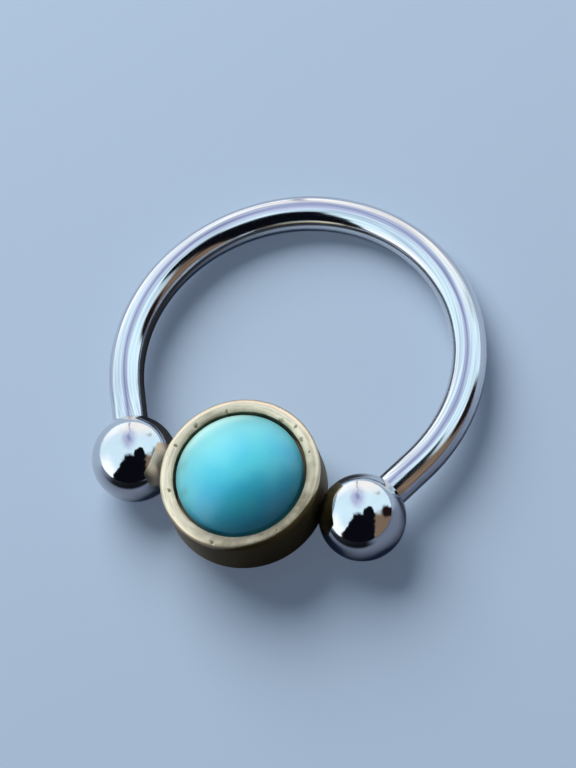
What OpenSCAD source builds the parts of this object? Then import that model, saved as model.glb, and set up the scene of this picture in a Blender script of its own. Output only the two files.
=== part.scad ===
// Captive bead ring: an open ring of round wire, closed by a bead made of a turquoise in a brass
// bezel between two steel balls. All sizes are in millimetres.
// The ring lies on its side: both balls and the back of the wire touch the surface at Z = 0.
// The bead is at the front, towards -Y, and the stone faces up.

/* [Wire ring] */
// Thickness of the round wire, 14 gauge
wire_d = 1.65; // [1.2:0.05:2]
// Inside diameter of the round part of the ring
ring_inner_d = 14.4; // [12.8:0.1:18]
// Slope cut round the edge of each wire end
end_chamfer = 0.2; // [0.05:0.05:0.4]
// Depth of each wire end inside its ball
wire_seat = 0.7; // [0.4:0.05:0.9]

/* [Balls] */
// Diameter of each ball
ball_d = 4; // [3.6:0.1:5]
// How far the centre of each ball lies outside the wire's centre circle
ball_out = 0.75; // [0.4:0.05:1.4]
// Depth that each ball nests into the wall of the bezel
ball_nest = 0.1; // [0.05:0.01:0.2]

/* [Bezel] */
// Outside diameter of the bezel
bezel_d = 7.45; // [7.2:0.05:8.6]
// How far the bezel sits in front of the line through the balls
bezel_shift = 0.1; // [0:0.01:0.2]
// Height of the rim above the line through the balls
rim_h = 2; // [1.6:0.05:2.4]
// Radius of the rounded outer edge of the rim
rim_round = 0.3; // [0.15:0.05:0.35]
// Width of the lip that slopes down to the stone
lip_w = 0.3; // [0.15:0.01:0.35]
// Drop of that lip from the rim to its inner edge
lip_drop = 0.13; // [0.05:0.01:0.3]
// Depth of the flat back below the line through the balls
back_h = 1; // [0.8:0.05:1.3]
// Radius of the rounded lower edge of the bezel
back_round = 0.8; // [0.3:0.05:1.05]
// Thickness of brass left between the post and the stone's pocket
pocket_web = 0.15; // [0.1:0.05:0.3]

/* [Stone] */
// Diameter of the round stone, a 6 mm cabochon
stone_d = 5.85; // [5.4:0.05:6]
// Height of the dome above the stone's straight edge
dome_h = 1.65; // [0.8:0.05:2.2]
// Depth of the top of the stone's straight edge below the inner edge of the lip
stone_drop = 0.15; // [0:0.01:0.25]
// How far off centre the stone sits in its pocket, towards the left ball
stone_left = 0.06; // [0:0.01:0.08]
// How far off centre the stone sits in its pocket, towards the back of the ring
stone_back = 0.04; // [0:0.01:0.08]

/* [Post] */
// Thickness of the hidden post that joins the two balls through the bezel
post_d = 1.2; // [0.8:0.05:1.4]
// Depth of each end of the post inside its ball
post_seat = 0.8; // [0.4:0.05:1]

/* [Clearances] */
// Gap between metal pieces that nest or seat in each other
seat_gap = 0.04; // [0.02:0.01:0.08]
// Gap round the post in its holes
post_gap = 0.03; // [0.02:0.01:0.06]
// Gap round the stone in its pocket
stone_gap = 0.17; // [0.12:0.01:0.2]

/* [Hidden] */
$fn = 96;

// Left and right, as factors of X
LEFT = -1;
RIGHT = 1;

// Extra length of a cutter past the face that it opens
cut_over = 1;

wire_r = wire_d / 2;
ring_r = (ring_inner_d + wire_d) / 2;
ball_r = ball_d / 2;
bezel_r = bezel_d / 2;
stone_r = stone_d / 2;
post_r = post_d / 2;

// Places in the plane of the ring, whose round part is centred on the origin
ball_centre_r = ring_r + ball_out;
ball_x = bezel_r + ball_r - ball_nest;
ball_y = sqrt(pow(ball_centre_r, 2) - pow(ball_x, 2));

// Half the angle of the arc, which runs to where its tangent points at the ball's centre
arc_half = 180 - asin(ball_x / ball_centre_r) - acos(ring_r / ball_centre_r);
// Distances from the ball's centre to the end of that arc and to the end of the wire
straight_l = sqrt(pow(ball_centre_r, 2) - pow(ring_r, 2));
wire_end = ball_r - wire_seat;
// A knuckle this much wider than the wire makes the arc and each straight end one solid
knuckle_swell = 0.003;

// The pocket of the bezel, above the post
pocket_r = stone_r + stone_gap;
pocket_floor = post_r + post_gap + pocket_web;
lip_h = rim_h - lip_drop;

// The stone, from its flat base up to its edge, and the sphere that its dome is part of
stone_base = pocket_floor + seat_gap;
stone_edge = lip_h - stone_drop;
dome_r = (pow(stone_r, 2) + pow(dome_h, 2)) / (2 * dome_h);

// The ring tilts because the balls are thicker than the wire
rest_tilt = asin((ball_r - wire_r) / (ring_r + ball_y));
rest_z = ball_r - ball_y * sin(rest_tilt);
front_y = ball_y * cos(rest_tilt) + max(bezel_r + bezel_shift, ball_r);
back_y = ring_r * cos(rest_tilt) + wire_r;
rest_y = (front_y - back_y) / 2;

// Lays a piece that is drawn in the plane of the ring down on the surface
module laid() {
    translate([0, rest_y, rest_z]) rotate([-rest_tilt, 0, 0]) children();
}

// Puts a piece on the left or the right of the bead
module on_side(side) {
    mirror([side < 0 ? 1 : 0, 0, 0]) children();
}

// Moves a piece to the right ball's centre, with its Z along the straight end of the wire
module along_wire() {
    translate([ball_x, -ball_y, 0]) rotate([-90, 0, 90 - arc_half]) children();
}

// Moves a piece to the middle of the bezel and turns it until the stone's face is level
module in_bezel() {
    translate([0, -ball_y, 0]) rotate([rest_tilt, 0, 0]) translate([0, -bezel_shift, 0]) children();
}

// A rod along X, centred on the line through the balls
module cross_rod(radius, half_length) {
    translate([-half_length, -ball_y, 0]) rotate([0, 90, 0])
        cylinder(r = radius, h = 2 * half_length);
}

// The straight end of the wire, with its edge cut to a slope
module straight_end() {
    translate([0, 0, wire_end + end_chamfer])
        cylinder(r = wire_r, h = straight_l - wire_end - end_chamfer);
    translate([0, 0, wire_end])
        cylinder(r1 = wire_r - end_chamfer, r2 = wire_r, h = end_chamfer);
    translate([0, 0, straight_l]) sphere(r = wire_r + knuckle_swell);
}

module ring() {
    color("silver") laid() {
        rotate([0, 0, 90 - arc_half]) rotate_extrude(angle = 2 * arc_half)
            translate([ring_r, 0]) circle(r = wire_r);
        for (side = [LEFT, RIGHT]) on_side(side) along_wire() straight_end();
    }
}

// A ball with a hole for the wire's end and a hole for the end of the post
module ball(side) {
    color("gainsboro") laid() difference() {
        on_side(side) difference() {
            translate([ball_x, -ball_y, 0]) sphere(r = ball_r);
            along_wire() translate([0, 0, wire_end - seat_gap])
                cylinder(r = wire_r + seat_gap, h = ball_r + cut_over);
        }
        cross_rod(post_r + post_gap, ball_x - ball_r + post_seat + seat_gap);
    }
}

module ball_left() ball(LEFT);

module ball_right() ball(RIGHT);

// Half of the bezel's outline: a rounded rim on top and a larger round at the flat back
module bezel_outline() {
    translate([0, -back_h]) square([bezel_r - back_round, rim_h + back_h]);
    translate([0, back_round - back_h])
        square([bezel_r, rim_h - rim_round + back_h - back_round]);
    translate([0, rim_h - rim_round]) square([bezel_r - rim_round, rim_round]);
    translate([bezel_r - rim_round, rim_h - rim_round]) circle(r = rim_round);
    translate([bezel_r - back_round, back_round - back_h]) circle(r = back_round);
}

// Half of the hollow that is cut for the stone, which widens over the sloping lip
module pocket_outline() {
    square([pocket_r, rim_h - pocket_floor + cut_over]);
    polygon([
        [0, lip_h - pocket_floor],
        [pocket_r, lip_h - pocket_floor],
        [pocket_r + lip_w, rim_h - pocket_floor],
        [0, rim_h - pocket_floor]
    ]);
}

module bezel() {
    color("darkkhaki") laid() difference() {
        in_bezel() difference() {
            rotate_extrude() bezel_outline();
            translate([0, 0, pocket_floor]) rotate_extrude() pocket_outline();
        }
        for (side = [LEFT, RIGHT]) on_side(side)
            translate([ball_x, -ball_y, 0]) sphere(r = ball_r + seat_gap);
        cross_rod(post_r + post_gap, bezel_r + cut_over);
    }
}

module post() {
    color("dimgray") laid() cross_rod(post_r, ball_x - ball_r + post_seat);
}

// A cabochon: a straight edge under a low dome
module stone() {
    color("mediumturquoise") laid() in_bezel() translate([-stone_left, stone_back, stone_base])
        intersection() {
            cylinder(r = stone_r, h = stone_edge - stone_base + dome_h);
            translate([0, 0, stone_edge - stone_base + dome_h - dome_r]) sphere(r = dome_r);
        }
}

ring();
ball_left();
ball_right();
bezel();
post();
stone();
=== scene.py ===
"""The looks of the captive bead ring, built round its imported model. Lengths are in metres.

Each metal piece and the stone is made again with finer curves than the frame's, because polished
metal shows every facet. The post is hidden, so it keeps the frame's shape.
"""
import math

import bmesh
import bpy
from mathutils import Matrix, Vector


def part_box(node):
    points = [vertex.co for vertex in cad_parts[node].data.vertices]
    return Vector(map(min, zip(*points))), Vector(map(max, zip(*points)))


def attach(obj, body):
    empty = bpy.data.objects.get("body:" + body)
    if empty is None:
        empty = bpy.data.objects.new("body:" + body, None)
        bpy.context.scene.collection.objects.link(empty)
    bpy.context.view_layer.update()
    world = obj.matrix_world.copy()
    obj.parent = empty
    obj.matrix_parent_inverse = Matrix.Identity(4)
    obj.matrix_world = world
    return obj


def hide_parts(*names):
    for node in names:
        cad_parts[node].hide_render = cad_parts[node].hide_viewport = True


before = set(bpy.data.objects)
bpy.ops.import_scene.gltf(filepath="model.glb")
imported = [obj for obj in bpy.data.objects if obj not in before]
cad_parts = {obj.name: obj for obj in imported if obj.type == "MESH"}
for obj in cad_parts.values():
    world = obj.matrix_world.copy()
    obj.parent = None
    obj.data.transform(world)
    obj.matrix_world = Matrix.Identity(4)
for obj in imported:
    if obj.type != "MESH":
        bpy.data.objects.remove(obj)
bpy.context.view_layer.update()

MM = 0.001
X_AXIS, Y_AXIS, Z_AXIS = Vector((1, 0, 0)), Vector((0, 1, 0)), Vector((0, 0, 1))
CENTRE = Vector((0, 0, 0))
LEFT, RIGHT = -1, 1

# The ring and the ends of its wire
WIRE_R = 1.65 * MM / 2
RING_R = 14.4 * MM / 2 + WIRE_R
END_CHAMFER = 0.2 * MM
WIRE_SEAT = 0.7 * MM

# The balls
BALL_R = 4 * MM / 2
BALL_OUT = 0.75 * MM
BALL_NEST = 0.1 * MM

# The bezel
BEZEL_R = 7.45 * MM / 2
BEZEL_SHIFT = 0.1 * MM
RIM_H = 2 * MM
RIM_ROUND = 0.3 * MM
LIP_W = 0.3 * MM
LIP_DROP = 0.13 * MM
BACK_H = 1 * MM
BACK_ROUND = 0.8 * MM
POCKET_WEB = 0.15 * MM

# The stone
STONE_R = 5.85 * MM / 2
DOME_H = 1.65 * MM
STONE_DROP = 0.15 * MM
STONE_LEFT = 0.06 * MM
STONE_BACK = 0.04 * MM

# The post, and the gaps between pieces
POST_R = 1.2 * MM / 2
POST_SEAT = 0.8 * MM
SEAT_GAP = 0.04 * MM
POST_GAP = 0.03 * MM
STONE_GAP = 0.17 * MM

# Places in the plane of the ring, whose round part is centred on the origin
BALL_CENTRE_R = RING_R + BALL_OUT
BALL_X = BEZEL_R + BALL_R - BALL_NEST
BALL_Y = math.sqrt(BALL_CENTRE_R ** 2 - BALL_X ** 2)
ARC_HALF = math.pi - math.asin(BALL_X / BALL_CENTRE_R) - math.acos(RING_R / BALL_CENTRE_R)
STRAIGHT_L = math.sqrt(BALL_CENTRE_R ** 2 - RING_R ** 2)
WIRE_END = BALL_R - WIRE_SEAT

# Heights on the bead, above the line through the balls
POCKET_R = STONE_R + STONE_GAP
POCKET_FLOOR = POST_R + POST_GAP + POCKET_WEB
LIP_H = RIM_H - LIP_DROP
STONE_BASE = POCKET_FLOOR + SEAT_GAP
STONE_EDGE = LIP_H - STONE_DROP
DOME_R = (STONE_R ** 2 + DOME_H ** 2) / (2 * DOME_H)

# The ring lies tilted, because the balls are thicker than the wire
TILT = math.asin((BALL_R - WIRE_R) / (RING_R + BALL_Y))
REST_Z = BALL_R - BALL_Y * math.sin(TILT)
FRONT_Y = BALL_Y * math.cos(TILT) + BEZEL_R + BEZEL_SHIFT
BACK_Y = RING_R * math.cos(TILT) + WIRE_R
REST_Y = (FRONT_Y - BACK_Y) / 2
LAID = Matrix.Translation((0, REST_Y, REST_Z)) @ Matrix.Rotation(-TILT, 4, "X")
ALONG_WIRE = (
    Matrix.Translation((BALL_X, -BALL_Y, 0))
    @ Matrix.Rotation(math.pi / 2 - ARC_HALF, 4, "Z")
    @ Matrix.Rotation(-math.pi / 2, 4, "X")
)
BEAD = LAID @ Matrix.Translation((0, -BALL_Y, 0)) @ Matrix.Rotation(TILT, 4, "X")
BEZEL = BEAD @ Matrix.Translation((0, -BEZEL_SHIFT, 0))
TO_SIDE = {LEFT: Matrix.Scale(-1, 4, X_AXIS), RIGHT: Matrix.Identity(4)}

# How finely the pieces are made
WIRE_SIDES = 72
ARC_STEPS = 220
BALL_STEPS = 128
TURN_STEPS = 480
CORNER_STEPS = 10
DOME_STEPS = 60
WELD = 0.001 * MM
SHARP = math.radians(35)

# How far the ends of a piece may be from those of its CAD node
FIT = 0.03 * MM

# The photograph's view: the camera turns round the object from the front, and looks down at it
VIEW_AZIMUTH = math.radians(40.23)
VIEW_ELEVATION = math.radians(63.85)
VIEW_ROLL = math.radians(-23.16)
VIEW_DISTANCE = 222 * MM
VIEW_AIM = Vector((0.05, -0.39, 1.82)) * MM
# The lens gives a millimetre at the aim this many of the pixels along the frame's long side, which the
# sensor spans. The sensor's size is in mm
PIXELS_PER_MM = 21.66
FRAME_LONG_SIDE = 768
SENSOR = 36


def colour(hex_text, glow=1.0):
    """A colour written as sRGB hex, as linear red, green, blue and alpha."""
    shares = [int(hex_text[i:i + 2], 16) / 255 for i in (0, 2, 4)]
    linear = [s / 12.92 if s <= 0.04045 else ((s + 0.055) / 1.055) ** 2.4 for s in shares]
    return [glow * s for s in linear] + [1.0]


def add(tree, kind, settings, inputs):
    """Adds one node with its settings. Each input is a value, or another node's output that is linked."""
    node = tree.nodes.new(kind)
    for name, value in settings.items():
        setattr(node, name, value)
    for name, value in inputs.items():
        if isinstance(value, bpy.types.NodeSocket):
            tree.links.new(value, node.inputs[name])
        else:
            node.inputs[name].default_value = value
    return node


# Where the colour version of the Mix node has its inputs and its output
MIX_A, MIX_B, MIX_OUT = 6, 7, 2


def new_material(name):
    """An empty material with its node tree, its shader and its object coordinates."""
    material = bpy.data.materials.new(name)
    material.use_nodes = True
    tree = material.node_tree
    tree.nodes.clear()
    shader = add(tree, "ShaderNodeBsdfPrincipled", {}, {})
    add(tree, "ShaderNodeOutputMaterial", {}, {"Surface": shader.outputs["BSDF"]})
    place = add(tree, "ShaderNodeTexCoord", {}, {}).outputs["Object"]
    return material, tree, shader, place


def make_metal(tree, shader, tint, rough, bump):
    """Makes a shader a metal with its own colour, roughness and fine relief."""
    shader.inputs["Metallic"].default_value = 1.0
    tree.links.new(tint.outputs[MIX_OUT], shader.inputs["Base Color"])
    tree.links.new(rough.outputs[0], shader.inputs["Roughness"])
    tree.links.new(bump.outputs[0], shader.inputs["Normal"])


def round_axis(tree, moved):
    """The parts of a place, the place across the Z axis, and its distance from that axis."""
    parts = add(tree, "ShaderNodeSeparateXYZ", {}, {"Vector": moved.outputs[0]})
    flat = add(tree, "ShaderNodeCombineXYZ", {}, {0: parts.outputs[0], 1: parts.outputs[1]}).outputs[0]
    radius = add(tree, "ShaderNodeVectorMath", {"operation": "LENGTH"}, {0: flat}).outputs["Value"]
    return parts, flat, radius


def lines_round(tree, parts, radius, height, mean_radius, width, length):
    """Noise that is fine across the circles round the Z axis, and drawn out along them."""
    turned = add(tree, "ShaderNodeMath", {"operation": "ARCTAN2"}, {0: parts.outputs[0], 1: parts.outputs[1]})
    squeeze = mean_radius * width / length
    along = add(tree, "ShaderNodeMath", {"operation": "MULTIPLY"}, {0: turned.outputs[0], 1: squeeze})
    section = add(tree, "ShaderNodeCombineXYZ", {}, {0: radius, 1: along.outputs[0], 2: height})
    noise = add(
        tree, "ShaderNodeTexNoise", {}, {"Vector": section.outputs[0], "Scale": 1 / width, "Detail": 2.0},
    )
    return noise.outputs[0]


def polished_steel():
    """Surgical steel, tumbled and buffed to a cool mirror.

    The eye gets a faint haze, and the slight ripple that buffing leaves.
    """
    material, tree, shader, place = new_material("polished_surgical_steel")
    haze_size = 1.4 * MM
    ripple_size = 0.35 * MM
    ripple_depth = 0.006 * MM
    haze = add(tree, "ShaderNodeTexNoise", {}, {"Vector": place, "Scale": 1 / haze_size, "Detail": 3.0})
    ripple = add(tree, "ShaderNodeTexNoise", {}, {"Vector": place, "Scale": 1 / ripple_size, "Detail": 2.0})
    rough = add(
        tree, "ShaderNodeMapRange", {},
        {"Value": haze.outputs[0], "From Min": 0.35, "From Max": 0.7, "To Min": 0.04, "To Max": 0.09},
    )
    tint = add(
        tree, "ShaderNodeMix", {"data_type": "RGBA"},
        {0: haze.outputs[0], MIX_A: colour("D0D3D7"), MIX_B: colour("BDC0C6")},
    )
    bump = add(
        tree, "ShaderNodeBump", {},
        {"Height": ripple.outputs[0], "Strength": 0.5, "Distance": ripple_depth},
    )
    make_metal(tree, shader, tint, rough, bump)
    return material


def drawn_steel():
    """Surgical steel wire, drawn through a die, bent and buffed.

    The eye gets a soft mirror with fine lines along the wire's length.
    """
    material, tree, shader, place = new_material("drawn_surgical_steel_wire")
    # Real drawing lines are about 0.02 mm wide, too fine to show, so these are drawn coarser
    line_width = 0.09 * MM
    line_length = 5 * MM
    line_depth = 0.004 * MM
    lying = add(
        tree, "ShaderNodeMapping", {"vector_type": "TEXTURE"},
        {"Vector": place, "Location": LAID.to_translation(), "Rotation": LAID.to_euler()},
    )
    parts, _, radius = round_axis(tree, lying)
    lines = lines_round(tree, parts, radius, parts.outputs[2], RING_R, line_width, line_length)
    rough = add(
        tree, "ShaderNodeMapRange", {},
        {"Value": lines, "From Min": 0.35, "From Max": 0.65, "To Min": 0.07, "To Max": 0.15},
    )
    worn = add(
        tree, "ShaderNodeMapRange", {},
        {"Value": lines, "From Min": 0.4, "From Max": 0.7, "To Min": 0.0, "To Max": 1.0},
    )
    tint = add(
        tree, "ShaderNodeMix", {"data_type": "RGBA"},
        {0: worn.outputs[0], MIX_A: colour("D2D5D9"), MIX_B: colour("A8ABB6")},
    )
    bump = add(tree, "ShaderNodeBump", {}, {"Height": lines, "Strength": 0.6, "Distance": line_depth})
    make_metal(tree, shader, tint, rough, bump)
    return material


def towards(angle):
    """The level direction at an angle from +X in degrees."""
    return Vector((math.cos(math.radians(angle)), math.sin(math.radians(angle)), 0))


def marks(tree, flat, places, ragged):
    """Ragged marks at listed angles and radii: 1 on a mark, 0 away from all of them."""
    # A mark is whole out to this share of its size, and fades from there
    core = 0.3
    jitter = add(tree, "ShaderNodeTexNoise", {}, {"Vector": flat, "Scale": 1 / ragged, "Detail": 2.0})
    shaken = add(
        tree, "ShaderNodeVectorMath", {"operation": "MULTIPLY_ADD"},
        {0: jitter.outputs["Color"], 1: (ragged, ragged, 0), 2: flat},
    )
    highest = 0.0
    for angle, radius, size in places:
        at = towards(angle) * radius * MM + Vector((ragged, ragged, 0)) / 2
        gap = add(tree, "ShaderNodeVectorMath", {"operation": "DISTANCE"}, {0: shaken.outputs[0], 1: at})
        mark = add(
            tree, "ShaderNodeMapRange", {"interpolation_type": "SMOOTHSTEP"},
            {
                "Value": gap.outputs["Value"], "From Min": core * size * MM, "From Max": size * MM,
                "To Min": 1.0, "To Max": 0.0,
            },
        )
        highest = add(
            tree, "ShaderNodeMath", {"operation": "MAXIMUM"}, {0: highest, 1: mark.outputs[0]},
        ).outputs[0]
    return highest


# Casting pits in the rim and the lip, and faint stains on the stone: angle from +X in degrees, radius and
# size in mm
PITS = (
    (148, 3.20, 0.16), (120, 3.15, 0.12), (71, 3.12, 0.19), (58, 3.35, 0.12), (46, 3.22, 0.14),
    (33, 3.33, 0.11), (-150, 3.29, 0.14), (-91, 3.50, 0.14), (-40, 3.42, 0.12), (171, 3.34, 0.10),
)
PIT_RAGGED = 0.2 * MM
PIT_DEPTH = 4.0
STAINS = ((-169, 2.5, 0.36), (-141, 2.6, 0.30))
STAIN_RAGGED = 0.4 * MM
STAIN_STRENGTH = 0.3

# The rim was rubbed bare by hand, most of all at its edge. Towards this side, which faces away from the lamp,
# the rim and the wall get painted shade, and the wall's dark is painted up over the rim's edge by this much
SHADED_SIDE = towards(-40)
SHADE_CREEP = 0.42 * MM
WALL_DARK_UNEVEN = 0.2 * MM

# The stone is painted paler and less blue towards this side, which faces the lamp: a painted sheen
STONE_LIT_SIDE = towards(140)


def antique_brass():
    """Cast brass, rubbed by hand to a pale satin.

    The eye gets faint rubbing lines, an edge that is rubbed barest, and dark patina in the pits, on the wall
    and beside the stone. The rim's flat and the wall also get painted shade on the side away from the lamp.
    """
    material, tree, shader, place = new_material("rubbed_antique_brass")
    cloud_size = 0.7 * MM
    grain_size = 0.09 * MM
    # Real rubbing lines are about 0.02 mm wide, too fine to show, so these are drawn coarser
    line_width = 0.07 * MM
    line_length = 1.2 * MM
    grain_depth = 0.008 * MM
    middle = BEZEL.to_translation()
    moved = add(tree, "ShaderNodeMapping", {"vector_type": "POINT"}, {"Vector": place, "Location": -middle})
    parts, flat, radius = round_axis(tree, moved)
    # How far a place lies towards the shaded side, which gets painted shade
    shaded_way = add(
        tree, "ShaderNodeVectorMath", {"operation": "DOT_PRODUCT"}, {0: flat, 1: SHADED_SIDE},
    ).outputs["Value"]
    cloud = add(tree, "ShaderNodeTexNoise", {}, {"Vector": place, "Scale": 1 / cloud_size, "Detail": 5.0})
    grain = add(tree, "ShaderNodeTexNoise", {}, {"Vector": place, "Scale": 1 / grain_size, "Detail": 3.0})
    crumb = add(
        tree, "ShaderNodeMapRange", {"interpolation_type": "SMOOTHSTEP"},
        {"Value": grain.outputs[0], "From Min": 0.42, "From Max": 0.56, "To Min": 0.7, "To Max": 0.9},
    )
    patchy = add(
        tree, "ShaderNodeMapRange", {},
        {"Value": cloud.outputs[0], "From Min": 0.35, "From Max": 0.65, "To Min": 0.45, "To Max": 1.0},
    )
    pits = add(
        tree, "ShaderNodeMath", {"operation": "MULTIPLY"},
        {0: marks(tree, flat, PITS, PIT_RAGGED), 1: crumb.outputs[0]},
    )

    # Beside the stone, the patina fades up the lip
    lip = add(
        tree, "ShaderNodeMapRange", {"interpolation_type": "SMOOTHSTEP"},
        {
            "Value": radius, "From Min": POCKET_R - 0.05 * MM, "From Max": POCKET_R + 0.8 * LIP_W,
            "To Min": 0.75, "To Max": 0.0,
        },
    )
    lip_dark = add(
        tree, "ShaderNodeMath", {"operation": "MULTIPLY"}, {0: lip.outputs[0], 1: patchy.outputs[0]},
    )

    # Radius less height rises from the rim's flat, over its rounded edge and down the wall
    over_edge = add(tree, "ShaderNodeMath", {"operation": "SUBTRACT"}, {0: radius, 1: parts.outputs[2]})
    # Painted shade: towards the shaded side, the wall's dark is painted further up, over the rim's edge
    shade_creep = add(
        tree, "ShaderNodeMapRange", {"interpolation_type": "SMOOTHSTEP"},
        {
            "Value": shaded_way, "From Min": 0.62 * BEZEL_R, "From Max": 0.92 * BEZEL_R,
            "To Min": 0.0, "To Max": SHADE_CREEP,
        },
    )
    crept = add(tree, "ShaderNodeMath", {"operation": "ADD"}, {0: over_edge.outputs[0], 1: shade_creep.outputs[0]})
    uneven = add(
        tree, "ShaderNodeMath", {"operation": "MULTIPLY_ADD"},
        {0: cloud.outputs[0], 1: WALL_DARK_UNEVEN, 2: crept.outputs[0]},
    )
    edge = BEZEL_R - RIM_ROUND - RIM_H
    wall = add(
        tree, "ShaderNodeMapRange", {"interpolation_type": "SMOOTHSTEP"},
        {
            "Value": uneven.outputs[0],
            "From Min": edge + 1.8 * RIM_ROUND, "From Max": edge + 2.6 * RIM_ROUND,
            "To Min": 0.0, "To Max": 1.0,
        },
    )
    # The wall's patina is painted much darker towards the shaded side: real patina with painted shade
    wall_shade_share = add(
        tree, "ShaderNodeMapRange", {},
        {"Value": shaded_way, "From Min": -BEZEL_R, "From Max": 0.6 * BEZEL_R, "To Min": 0.1, "To Max": 1.0},
    )
    wall_patina_and_shade = add(
        tree, "ShaderNodeMath", {"operation": "MULTIPLY"}, {0: wall.outputs[0], 1: wall_shade_share.outputs[0]},
    )

    # Painted shade darkens the rim's flat towards the shaded side, and its edge is kept clear of it all round
    flat_shade_by_side = add(
        tree, "ShaderNodeMapRange", {"interpolation_type": "SMOOTHSTEP"},
        {
            "Value": shaded_way, "From Min": -0.2 * BEZEL_R, "From Max": 0.85 * BEZEL_R,
            "To Min": 0.03, "To Max": 0.8,
        },
    )
    off_edge = add(
        tree, "ShaderNodeMapRange", {"interpolation_type": "SMOOTHSTEP"},
        {
            "Value": radius, "From Min": BEZEL_R - 0.8 * RIM_ROUND, "From Max": BEZEL_R - 0.3 * RIM_ROUND,
            "To Min": 1.0, "To Max": 0.15,
        },
    )
    flat_shade_off_edge = add(
        tree, "ShaderNodeMath", {"operation": "MULTIPLY"}, {0: flat_shade_by_side.outputs[0], 1: off_edge.outputs[0]},
    )
    flat_shade_patchy = add(
        tree, "ShaderNodeMath", {"operation": "MULTIPLY"}, {0: flat_shade_off_edge.outputs[0], 1: patchy.outputs[0]},
    )
    rubbing = add(
        tree, "ShaderNodeMapRange", {},
        {
            "Value": lines_round(tree, parts, radius, 0.0, BEZEL_R, line_width, line_length),
            "From Min": 0.5, "From Max": 0.75, "To Min": 0.0, "To Max": 0.5,
        },
    )

    # Real patina and painted shade together
    patina = 0.0
    for layer in (lip_dark, wall_patina_and_shade, flat_shade_patchy, rubbing, pits):
        patina = add(
            tree, "ShaderNodeMath", {"operation": "MAXIMUM"}, {0: patina, 1: layer.outputs[0]},
        ).outputs[0]
    rubbed = add(
        tree, "ShaderNodeMix", {"data_type": "RGBA"},
        {0: crumb.outputs[0], MIX_A: colour("FFEBD4"), MIX_B: colour("EEDABC")},
    )
    tarnish_and_shade = add(
        tree, "ShaderNodeMix", {"data_type": "RGBA"},
        {0: patina, MIX_A: rubbed.outputs[MIX_OUT], MIX_B: colour("645636")},
    )
    rough = add(
        tree, "ShaderNodeMapRange", {},
        {"Value": patina, "From Min": 0.0, "From Max": 1.0, "To Min": 0.42, "To Max": 0.55},
    )
    sunk = add(
        tree, "ShaderNodeMath", {"operation": "MULTIPLY_ADD"},
        {0: pits.outputs[0], 1: -PIT_DEPTH, 2: grain.outputs[0]},
    )
    bump = add(
        tree, "ShaderNodeBump", {},
        {"Height": sunk.outputs[0], "Strength": 0.7, "Distance": grain_depth},
    )
    make_metal(tree, shader, tarnish_and_shade, rough, bump)
    return material


def satin_turquoise():
    """Turquoise, cut as a cabochon and waxed.

    The eye gets an even blue-green under a soft clear sheen, faint clouds and two faint stains. The side that
    faces the lamp is painted paler and less blue, palest at its edge, as a painted sheen.
    """
    material, tree, shader, place = new_material("satin_turquoise")
    cloud_size = 1.6 * MM
    # The stone's real grain is too fine to show, so it is drawn as the slight unevenness of its polish
    grain_size = 0.15 * MM
    grain_depth = 0.003 * MM
    middle = BEZEL.to_translation() + Vector((-STONE_LEFT, STONE_BACK, 0))
    moved = add(tree, "ShaderNodeMapping", {"vector_type": "POINT"}, {"Vector": place, "Location": -middle})
    _, flat, _ = round_axis(tree, moved)
    cloud = add(tree, "ShaderNodeTexNoise", {}, {"Vector": place, "Scale": 1 / cloud_size, "Detail": 4.0})
    grain = add(tree, "ShaderNodeTexNoise", {}, {"Vector": place, "Scale": 1 / grain_size, "Detail": 2.0})
    even = add(
        tree, "ShaderNodeMapRange", {},
        {"Value": cloud.outputs[0], "From Min": 0.35, "From Max": 0.65, "To Min": 0.0, "To Max": 1.0},
    )
    # Painted sheen: towards the lamp the stone's colour turns paler and less blue, and paler still at its
    # edge
    lit_side_way = add(
        tree, "ShaderNodeVectorMath", {"operation": "DOT_PRODUCT"}, {0: flat, 1: STONE_LIT_SIDE},
    ).outputs["Value"]
    lit_side_share = add(
        tree, "ShaderNodeMapRange", {"interpolation_type": "SMOOTHSTEP"},
        {
            "Value": lit_side_way, "From Min": -0.3 * STONE_R, "From Max": 0.9 * STONE_R,
            "To Min": 0.0, "To Max": 1.0,
        },
    )
    lit_edge_share = add(
        tree, "ShaderNodeMapRange", {"interpolation_type": "SMOOTHSTEP"},
        {"Value": lit_side_way, "From Min": 0.55 * STONE_R, "From Max": STONE_R, "To Min": 0.0, "To Max": 1.0},
    )
    stained = marks(tree, flat, STAINS, STAIN_RAGGED)
    stain = add(tree, "ShaderNodeMath", {"operation": "MULTIPLY"}, {0: stained, 1: STAIN_STRENGTH})
    clouded = add(
        tree, "ShaderNodeMix", {"data_type": "RGBA"},
        {0: even.outputs[0], MIX_A: colour("2CBCE6"), MIX_B: colour("42C8E2")},
    )
    pale = add(
        tree, "ShaderNodeMix", {"data_type": "RGBA"},
        {0: lit_edge_share.outputs[0], MIX_A: colour("5CAEB8"), MIX_B: colour("A6E0E6")},
    )
    sheened = add(
        tree, "ShaderNodeMix", {"data_type": "RGBA"},
        {0: lit_side_share.outputs[0], MIX_A: clouded.outputs[MIX_OUT], MIX_B: pale.outputs[MIX_OUT]},
    )
    body = add(
        tree, "ShaderNodeMix", {"data_type": "RGBA"},
        {0: stain.outputs[0], MIX_A: sheened.outputs[MIX_OUT], MIX_B: colour("3E7C84")},
    )
    bump = add(
        tree, "ShaderNodeBump", {},
        {"Height": grain.outputs[0], "Strength": 0.3, "Distance": grain_depth},
    )
    for name, value in (
        ("Roughness", 0.5), ("IOR", 1.61),
        ("Coat Weight", 1.0), ("Coat Roughness", 0.3), ("Coat IOR", 1.5),
        ("Sheen Weight", 0.4), ("Sheen Roughness", 0.4),
    ):
        shader.inputs[name].default_value = value
    tree.links.new(body.outputs[MIX_OUT], shader.inputs["Base Color"])
    tree.links.new(bump.outputs[0], shader.inputs["Normal"])
    return material


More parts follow.
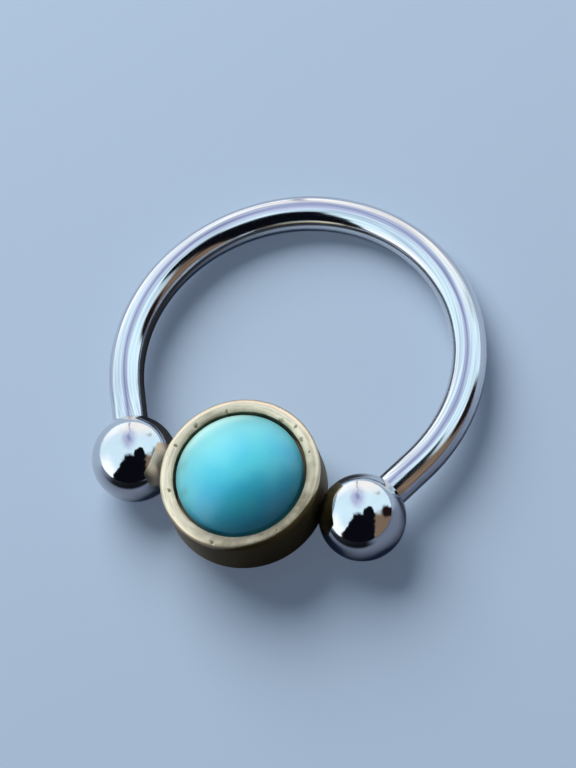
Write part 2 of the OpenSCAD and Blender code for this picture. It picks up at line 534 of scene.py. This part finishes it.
def new_object(name, mesh):
    """Closes a mesh, turns its faces outwards and makes it an object at the origin."""
    bmesh.ops.remove_doubles(mesh, verts=mesh.verts, dist=WELD)
    bmesh.ops.recalc_face_normals(mesh, faces=mesh.faces)
    data = bpy.data.meshes.new(name)
    mesh.to_mesh(data)
    mesh.free()
    piece = bpy.data.objects.new(name, data)
    bpy.context.scene.collection.objects.link(piece)
    return piece


def cut_away(piece, *cutters):
    """Cuts each cutter out of a piece for good, and deletes it."""
    for cutter in cutters:
        cut = piece.modifiers.new("cut", "BOOLEAN")
        cut.operation = "DIFFERENCE"
        cut.solver = "EXACT"
        cut.object = cutter
        depsgraph = bpy.context.evaluated_depsgraph_get()
        solid = bpy.data.meshes.new_from_object(piece.evaluated_get(depsgraph))
        solid.name = piece.name
        piece.modifiers.clear()
        piece.data = solid
        bpy.data.objects.remove(cutter)


def finish_piece(piece, node, material):
    """Gives a piece its finish and puts it in the place of its CAD node, whose box it has to fill."""
    piece.data.shade_smooth()
    piece.data.set_sharp_from_angle(angle=SHARP)
    piece.data.materials.clear()
    piece.data.materials.append(material)
    points = [vertex.co for vertex in piece.data.vertices]
    for axis in range(3):
        ends = min(p[axis] for p in points), max(p[axis] for p in points)
        for own, frame_end in zip(ends, (corner[axis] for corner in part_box(node))):
            if abs(own - frame_end) > FIT:
                raise ValueError(f"{piece.name} ends at {own:.6f} m, {node} at {frame_end:.6f} m")
    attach(piece, "root")
    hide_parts(node)


def pen_down(mesh, across, height):
    """Starts an outline at a distance across from the Z axis and a height."""
    return bmesh.ops.create_vert(mesh, co=(across, 0, height))["vert"][0]


def pen_to(mesh, last, across, height):
    """Draws a straight edge from the outline's last point."""
    drawn = bmesh.ops.extrude_vert_indiv(mesh, verts=[last])["verts"][0]
    drawn.co = (across, 0, height)
    return drawn


def pen_round(mesh, last, across, height, angle, steps):
    """Draws an arc from the outline's last point, round a centre at that distance across and height."""
    drawn = bmesh.ops.spin(
        mesh, geom=[last], cent=(across, 0, height), axis=Y_AXIS, dvec=CENTRE,
        angle=angle, steps=steps, use_merge=False, use_duplicate=False,
    )["geom_last"]
    return next(part for part in drawn if isinstance(part, bmesh.types.BMVert))


def turn(mesh, steps):
    """Turns an outline all the way round the Z axis."""
    bmesh.ops.spin(
        mesh, geom=mesh.verts[:] + mesh.edges[:], cent=CENTRE, axis=Z_AXIS, dvec=CENTRE,
        angle=2 * math.pi, steps=steps, use_merge=True, use_duplicate=False,
    )


def rod_across(radius, half_length):
    """A plain rod along X through the middle of the bead, as a cutter."""
    mesh = bmesh.new()
    bmesh.ops.create_cone(
        mesh, cap_ends=True, segments=WIRE_SIDES, radius1=radius, radius2=radius, depth=2 * half_length,
        matrix=BEAD @ Matrix.Rotation(math.pi / 2, 4, "Y"),
    )
    return new_object("rod_cutter", mesh)


def ring_wire():
    """The open ring: half of it is drawn from the wire's end inside the right ball, and mirrored."""
    mesh = bmesh.new()
    to_end = ALONG_WIRE @ Matrix.Translation((0, 0, WIRE_END))
    forward = ALONG_WIRE.to_3x3() @ Z_AXIS
    end_r = WIRE_R - END_CHAMFER
    bmesh.ops.create_circle(mesh, cap_ends=True, segments=WIRE_SIDES, radius=end_r, matrix=to_end)
    loop = mesh.edges[:]
    for length, swell in ((END_CHAMFER, WIRE_R / end_r), (STRAIGHT_L - WIRE_END - END_CHAMFER, 1)):
        made = bmesh.ops.extrude_edge_only(mesh, edges=loop)["geom"]
        points = [part for part in made if isinstance(part, bmesh.types.BMVert)]
        loop = [edge for edge in made if isinstance(edge, bmesh.types.BMEdge)]
        loop = [edge for edge in loop if all(end in points for end in edge.verts)]
        middle = sum((point.co for point in points), Vector()) / len(points)
        bmesh.ops.scale(mesh, verts=points, vec=(swell,) * 3, space=Matrix.Translation(-middle))
        bmesh.ops.translate(mesh, verts=points, vec=forward * length)
    bmesh.ops.spin(
        mesh, geom=loop + points, cent=CENTRE, axis=Z_AXIS, dvec=CENTRE,
        angle=ARC_HALF, steps=ARC_STEPS, use_merge=False, use_duplicate=False,
    )
    bmesh.ops.mirror(mesh, geom=mesh.verts[:] + mesh.edges[:] + mesh.faces[:], axis="X", merge_dist=WELD)
    bmesh.ops.transform(mesh, verts=mesh.verts, matrix=LAID)
    return new_object("ring_wire", mesh)


def drilled_ball(name, side):
    """A ball, turned about its hole for the wire's end, with a hole for the post cut across it."""
    hole_r = WIRE_R + SEAT_GAP
    hole_floor = WIRE_END - SEAT_GAP
    mouth = math.asin(hole_r / BALL_R)
    mesh = bmesh.new()
    point = pen_down(mesh, 0, -BALL_R)
    point = pen_round(mesh, point, 0, 0, mouth - math.pi, BALL_STEPS // 2)
    point = pen_to(mesh, point, hole_r, hole_floor)
    pen_to(mesh, point, 0, hole_floor)
    turn(mesh, BALL_STEPS)
    bmesh.ops.transform(mesh, verts=mesh.verts, matrix=LAID @ TO_SIDE[side] @ ALONG_WIRE)
    ball = new_object(name, mesh)
    cut_away(ball, rod_across(POST_R + POST_GAP, BALL_X - BALL_R + POST_SEAT + SEAT_GAP))
    return ball


def nest_cutter(side):
    """The round seat that a ball has in the bezel's wall, as a cutter."""
    mesh = bmesh.new()
    bmesh.ops.create_uvsphere(
        mesh, u_segments=BALL_STEPS, v_segments=BALL_STEPS // 2, radius=BALL_R + SEAT_GAP,
        matrix=BEAD @ Matrix.Translation((side * BALL_X, 0, 0)),
    )
    return new_object("nest_cutter", mesh)


def brass_cup():
    """The bezel: its outline runs from the middle of its back, up the wall and over the rim to the pocket."""
    mesh = bmesh.new()
    point = pen_down(mesh, 0, -BACK_H)
    point = pen_to(mesh, point, BEZEL_R - BACK_ROUND, -BACK_H)
    point = pen_round(
        mesh, point, BEZEL_R - BACK_ROUND, BACK_ROUND - BACK_H, -math.pi / 2, CORNER_STEPS,
    )
    point = pen_to(mesh, point, BEZEL_R, RIM_H - RIM_ROUND)
    point = pen_round(
        mesh, point, BEZEL_R - RIM_ROUND, RIM_H - RIM_ROUND, -math.pi / 2, CORNER_STEPS,
    )
    point = pen_to(mesh, point, POCKET_R + LIP_W, RIM_H)
    point = pen_to(mesh, point, POCKET_R, LIP_H)
    point = pen_to(mesh, point, POCKET_R, POCKET_FLOOR)
    pen_to(mesh, point, 0, POCKET_FLOOR)
    turn(mesh, TURN_STEPS)
    bmesh.ops.transform(mesh, verts=mesh.verts, matrix=BEZEL)
    cup = new_object("brass_bezel", mesh)
    cut_away(cup, nest_cutter(LEFT), nest_cutter(RIGHT), rod_across(POST_R + POST_GAP, 2 * BEZEL_R))
    return cup


def cabochon():
    """The stone: a flat base, a straight edge and a low dome."""
    mesh = bmesh.new()
    dome_centre = STONE_EDGE + DOME_H - DOME_R
    point = pen_down(mesh, 0, STONE_BASE)
    point = pen_to(mesh, point, STONE_R, STONE_BASE)
    point = pen_to(mesh, point, STONE_R, STONE_EDGE)
    pen_round(mesh, point, 0, dome_centre, -math.asin(STONE_R / DOME_R), DOME_STEPS)
    turn(mesh, TURN_STEPS // 2)
    off_centre = Matrix.Translation((-STONE_LEFT, STONE_BACK, 0))
    bmesh.ops.transform(mesh, verts=mesh.verts, matrix=BEZEL @ off_centre)
    return new_object("turquoise_cabochon", mesh)


def photo_axes():
    """The photograph's right, up and back directions, turned about its own line of sight."""
    level = math.cos(VIEW_ELEVATION)
    back = Vector((
        math.sin(VIEW_AZIMUTH) * level,
        -math.cos(VIEW_AZIMUTH) * level,
        math.sin(VIEW_ELEVATION),
    ))
    turned = (-back).to_track_quat("-Z", "Y").to_matrix() @ Matrix.Rotation(VIEW_ROLL, 3, "Z")
    return turned.col[0].copy(), turned.col[1].copy(), back


def camera():
    """The photograph's camera."""
    right, up, back = photo_axes()
    data = bpy.data.cameras.new("photo_camera")
    data.sensor_width = SENSOR
    data.lens = SENSOR * PIXELS_PER_MM * (VIEW_DISTANCE / MM) / FRAME_LONG_SIDE
    data.clip_start = VIEW_DISTANCE / 10
    data.clip_end = 100 * VIEW_DISTANCE
    view = bpy.data.objects.new("photo_camera", data)
    turned = Matrix((right, up, back)).transposed().to_4x4()
    view.matrix_world = Matrix.Translation(VIEW_AIM + back * VIEW_DISTANCE) @ turned
    bpy.context.scene.collection.objects.link(view)
    bpy.context.scene.camera = view


# What the polished metal mirrors: windows and dark flags round the set, each hung in front of those before
# it. Places and sizes are shares of a ball's radius, as the ball shows them from the photograph's side: to
# the right and up from its middle. The colour is the one that the steel shows; glow is for what is brighter
# than white.
PANELS = (
    # shape, colour, glow, right, up, half width, half height, turned by, soft edge
    ("oval", "F6F2EC", 1.00, 0.05, 0.85, 0.80, 0.25, 0, 0.6),
    ("box", "F9FCFD", 1.05, -0.42, 0.78, 0.40, 0.14, 40, 0.6),
    ("box", "FAFDFF", 1.10, -0.62, -0.30, 0.20, 0.30, 30, 0.5),
    ("oval", "B4B8D4", 1.00, -0.12, 0.46, 0.14, 0.19, 0, 0.7),
    ("oval", "8696BA", 1.00, -0.12, 0.51, 0.035, 0.07, 0, 0.7),
    ("box", "9C9AA6", 1.00, -0.12, 0.80, 0.012, 0.18, 0, 0.6),
    ("oval", "B4C0C2", 1.00, 0.34, 0.58, 0.05, 0.035, 20, 0.8),
    ("box", "796655", 1.00, 0.42, -0.24, 0.24, 0.36, 0, 0.2),
    ("oval", "1D1113", 1.00, 0.58, 0.14, 0.16, 0.13, -15, 0.3),
    ("oval", "0A0B12", 1.00, 0.13, 0.12, 0.12, 0.16, -12, 0.12),
    ("box", "0A0B12", 1.00, 0.045, -0.32, 0.235, 0.42, 0, 0.1),
    ("box", "090A10", 1.00, -0.18, -0.38, 0.40, 0.25, 59, 0.08),
)
# What the steel shows between the panels. It shows about this share of the light that reaches it, so all
# that it mirrors is made brighter by as much
OPEN_SKY = "D6EEF8"
STEEL_SHOWS = 0.62
# The backdrop that the camera sees, and the even fill's colour and strength
BACKDROP = "C9D3E1"
FILL = ("9FBAE8", 0.12)
# The panels' outlines waver by this much, with this many waves across a ball's radius
WAVER = 0.14
WAVES = 7.0


def studio():
    """Soft windows and flags for the metal to mirror, a dim even fill, and a plain pale backdrop."""
    world = bpy.data.worlds.new("studio")
    bpy.context.scene.world = world
    world.use_nodes = True
    tree = world.node_tree
    tree.nodes.clear()
    right, up, back = photo_axes()
    way = add(tree, "ShaderNodeTexCoord", {}, {}).outputs["Generated"]
    between = add(tree, "ShaderNodeVectorMath", {"operation": "ADD"}, {0: way, 1: back})
    facing = add(tree, "ShaderNodeVectorMath", {"operation": "NORMALIZE"}, {0: between.outputs[0]})
    spots = [
        add(tree, "ShaderNodeVectorMath", {"operation": "DOT_PRODUCT"}, {0: facing.outputs[0], 1: axis})
        for axis in (right, up)
    ]
    spot = add(tree, "ShaderNodeCombineXYZ", {}, {0: spots[0].outputs["Value"], 1: spots[1].outputs["Value"]})
    wobble = add(tree, "ShaderNodeTexNoise", {}, {"Vector": spot.outputs[0], "Scale": WAVES, "Detail": 1.5})
    shaken = add(
        tree, "ShaderNodeVectorMath", {"operation": "MULTIPLY_ADD"},
        {0: wobble.outputs["Color"], 1: (WAVER, WAVER, 0.0), 2: spot.outputs[0]},
    )
    chart = add(
        tree, "ShaderNodeVectorMath", {"operation": "SUBTRACT"},
        {0: shaken.outputs[0], 1: (WAVER / 2, WAVER / 2, 0.0)},
    )
    seen = colour(OPEN_SKY)
    for shape, hex_text, glow, across, height, half_width, half_height, turned, soft in PANELS:
        local = add(
            tree, "ShaderNodeMapping", {"vector_type": "TEXTURE"},
            {
                "Vector": chart.outputs[0], "Location": (across, height, 0),
                "Rotation": (0, 0, math.radians(turned)), "Scale": (half_width, half_height, 1),
            },
        )
        if shape == "oval":
            far = add(
                tree, "ShaderNodeVectorMath", {"operation": "LENGTH"}, {0: local.outputs[0]},
            ).outputs["Value"]
        else:
            sides = add(tree, "ShaderNodeVectorMath", {"operation": "ABSOLUTE"}, {0: local.outputs[0]})
            reach = add(tree, "ShaderNodeSeparateXYZ", {}, {"Vector": sides.outputs[0]})
            far = add(
                tree, "ShaderNodeMath", {"operation": "MAXIMUM"}, {0: reach.outputs[0], 1: reach.outputs[1]},
            ).outputs[0]
        mask = add(
            tree, "ShaderNodeMapRange", {"interpolation_type": "SMOOTHSTEP"},
            {"Value": far, "From Min": 1 - soft, "From Max": 1 + soft, "To Min": 1.0, "To Max": 0.0},
        )
        seen = add(
            tree, "ShaderNodeMix", {"data_type": "RGBA"},
            {0: mask.outputs[0], MIX_A: seen, MIX_B: colour(hex_text, glow)},
        ).outputs[MIX_OUT]
    ray = add(tree, "ShaderNodeLightPath", {}, {})
    fill = add(
        tree, "ShaderNodeMix", {"data_type": "RGBA"},
        {0: ray.outputs["Is Camera Ray"], MIX_A: colour(*FILL), MIX_B: colour(BACKDROP)},
    )
    even = add(tree, "ShaderNodeBackground", {}, {"Color": fill.outputs[MIX_OUT]})
    mirrored = add(tree, "ShaderNodeBackground", {}, {"Color": seen, "Strength": 1 / STEEL_SHOWS})
    shown = add(
        tree, "ShaderNodeMixShader", {},
        {0: ray.outputs["Is Glossy Ray"], 1: even.outputs[0], 2: mirrored.outputs[0]},
    )
    add(tree, "ShaderNodeOutputWorld", {}, {"Surface": shown.outputs[0]})


def soft_lamp(name, azimuth, elevation, distance, size, power, hex_text):
    """A large soft lamp that lights the floor and the stone. Nothing mirrors it."""
    data = bpy.data.lights.new(name, "AREA")
    data.shape = "DISK"
    data.size = size
    data.energy = power
    data.color = colour(hex_text)[:3]
    lamp = bpy.data.objects.new(name, data)
    turn_by, rise = math.radians(azimuth), math.radians(elevation)
    away = Vector((math.sin(turn_by) * math.cos(rise), -math.cos(turn_by) * math.cos(rise), math.sin(rise)))
    aimed = away.to_track_quat("Z", "Y").to_matrix().to_4x4()
    lamp.matrix_world = Matrix.Translation(away * distance) @ aimed
    lamp.visible_glossy = False
    bpy.context.scene.collection.objects.link(lamp)


FLOOR_R = 1.5
FLOOR_SIDES = 64
FLOOR_COLOUR = "8CA2BC"
# A little light of its own, which only the camera sees, keeps the shadows as pale as the photograph's
SHADOW_LIFT = ("B0C4E0", 0.19)

# What the metal mirrors of the floor is painted light and shade: it goes from shaded to lit over this
# distance, towards this side,
FLOOR_SHADED, FLOOR_LIT = "808EA8", "B2C8E4"
LIT_SIDE = Vector((-0.447, 0.894, 0))
LIT_FROM = -8 * MM
# it has a round painted shadow inside the ring,
RING_SHADOW_COLOUR = "34363D"
RING_SHADOW_PLACE = Vector((-2, -0.5, 0)) * MM
RING_SHADOW_R, RING_SHADOW_EDGE = 5.8 * MM, 1.5 * MM
# and in front of this line it has a painted shadow and a painted reflection of the dark flags, dark in a
# wedge that opens from this corner
FRONT_DARK_COLOUR = "0B0C12"
WEDGE_CORNER = Vector((0, 4, 0)) * MM
WEDGE_HALF, WEDGE_EDGE = math.radians(35), math.radians(9)
FRONT_DARK_Y, FRONT_DARK_EDGE = -14.5 * MM, 2 * MM


def mirrored_floor(tree, place):
    """The floor's colour where the metal mirrors it, with painted light, shade and shadow."""
    lit_way = add(tree, "ShaderNodeVectorMath", {"operation": "DOT_PRODUCT"}, {0: place, 1: LIT_SIDE})
    ring_shadow_way = add(tree, "ShaderNodeVectorMath", {"operation": "DISTANCE"}, {0: place, 1: RING_SHADOW_PLACE})
    from_corner = add(tree, "ShaderNodeVectorMath", {"operation": "SUBTRACT"}, {0: place, 1: WEDGE_CORNER})
    sides = add(tree, "ShaderNodeVectorMath", {"operation": "ABSOLUTE"}, {0: from_corner.outputs[0]})
    reach = add(tree, "ShaderNodeSeparateXYZ", {}, {"Vector": sides.outputs[0]})
    aside = add(tree, "ShaderNodeMath", {"operation": "ARCTAN2"}, {0: reach.outputs[0], 1: reach.outputs[1]})
    parts = add(tree, "ShaderNodeSeparateXYZ", {}, {"Vector": place})
    lit, ring_shadow, wedge, in_front = [
        add(
            tree, "ShaderNodeMapRange", {"interpolation_type": "SMOOTHSTEP"},
            {"Value": value, "From Min": start, "From Max": end, "To Min": before, "To Max": after},
        ).outputs[0]
        for value, start, end, before, after in (
            (lit_way.outputs["Value"], LIT_FROM, 0.0, 0.0, 1.0),
            (ring_shadow_way.outputs["Value"], RING_SHADOW_R - RING_SHADOW_EDGE, RING_SHADOW_R + RING_SHADOW_EDGE, 1.0, 0.0),
            (aside.outputs[0], WEDGE_HALF - WEDGE_EDGE, WEDGE_HALF + WEDGE_EDGE, 1.0, 0.0),
            (parts.outputs[1], FRONT_DARK_Y - FRONT_DARK_EDGE, FRONT_DARK_Y + FRONT_DARK_EDGE, 1.0, 0.0),
        )
    ]
    front_dark = add(tree, "ShaderNodeMath", {"operation": "MULTIPLY"}, {0: wedge, 1: in_front}).outputs[0]
    seen = colour(FLOOR_SHADED)
    for share, hex_text in ((lit, FLOOR_LIT), (ring_shadow, RING_SHADOW_COLOUR), (front_dark, FRONT_DARK_COLOUR)):
        seen = add(
            tree, "ShaderNodeMix", {"data_type": "RGBA"}, {0: share, MIX_A: seen, MIX_B: colour(hex_text)},
        ).outputs[MIX_OUT]
    return seen


def floor():
    """A plain pale floor, which the metal mirrors in other colours, with painted light and shade."""
    mesh = bmesh.new()
    bmesh.ops.create_circle(mesh, cap_ends=True, segments=FLOOR_SIDES, radius=FLOOR_R)
    piece = new_object("floor", mesh)
    material, tree, shader, place = new_material("plain_pale_floor")
    ray = add(tree, "ShaderNodeLightPath", {}, {})
    seen = add(
        tree, "ShaderNodeMix", {"data_type": "RGBA"},
        {0: ray.outputs["Is Glossy Ray"], MIX_A: colour(FLOOR_COLOUR), MIX_B: mirrored_floor(tree, place)},
    )
    lift_colour, lift = SHADOW_LIFT
    glow = add(tree, "ShaderNodeMath", {"operation": "MULTIPLY"}, {0: ray.outputs["Is Camera Ray"], 1: lift})
    tree.links.new(seen.outputs[MIX_OUT], shader.inputs["Base Color"])
    tree.links.new(glow.outputs[0], shader.inputs["Emission Strength"])
    shader.inputs["Emission Color"].default_value = colour(lift_colour)
    shader.inputs["Roughness"].default_value = 0.9
    shader.inputs["Specular IOR Level"].default_value = 0.1
    piece.data.materials.append(material)


camera()
studio()
soft_lamp("key", azimuth=-132, elevation=43, distance=0.35, size=0.34, power=2.45, hex_text="FFF7EA")
floor()

steel = polished_steel()
brass = antique_brass()
turquoise = satin_turquoise()
finish_piece(ring_wire(), "ring", drawn_steel())
finish_piece(drilled_ball("steel_ball_left", LEFT), "ball_left", steel)
finish_piece(drilled_ball("steel_ball_right", RIGHT), "ball_right", steel)
finish_piece(brass_cup(), "bezel", brass)
finish_piece(cabochon(), "stone", turquoise)
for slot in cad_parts["post"].material_slots:
    slot.material = steel

view_settings = bpy.context.scene.view_settings
view_settings.view_transform = "Standard"
view_settings.look = "None"
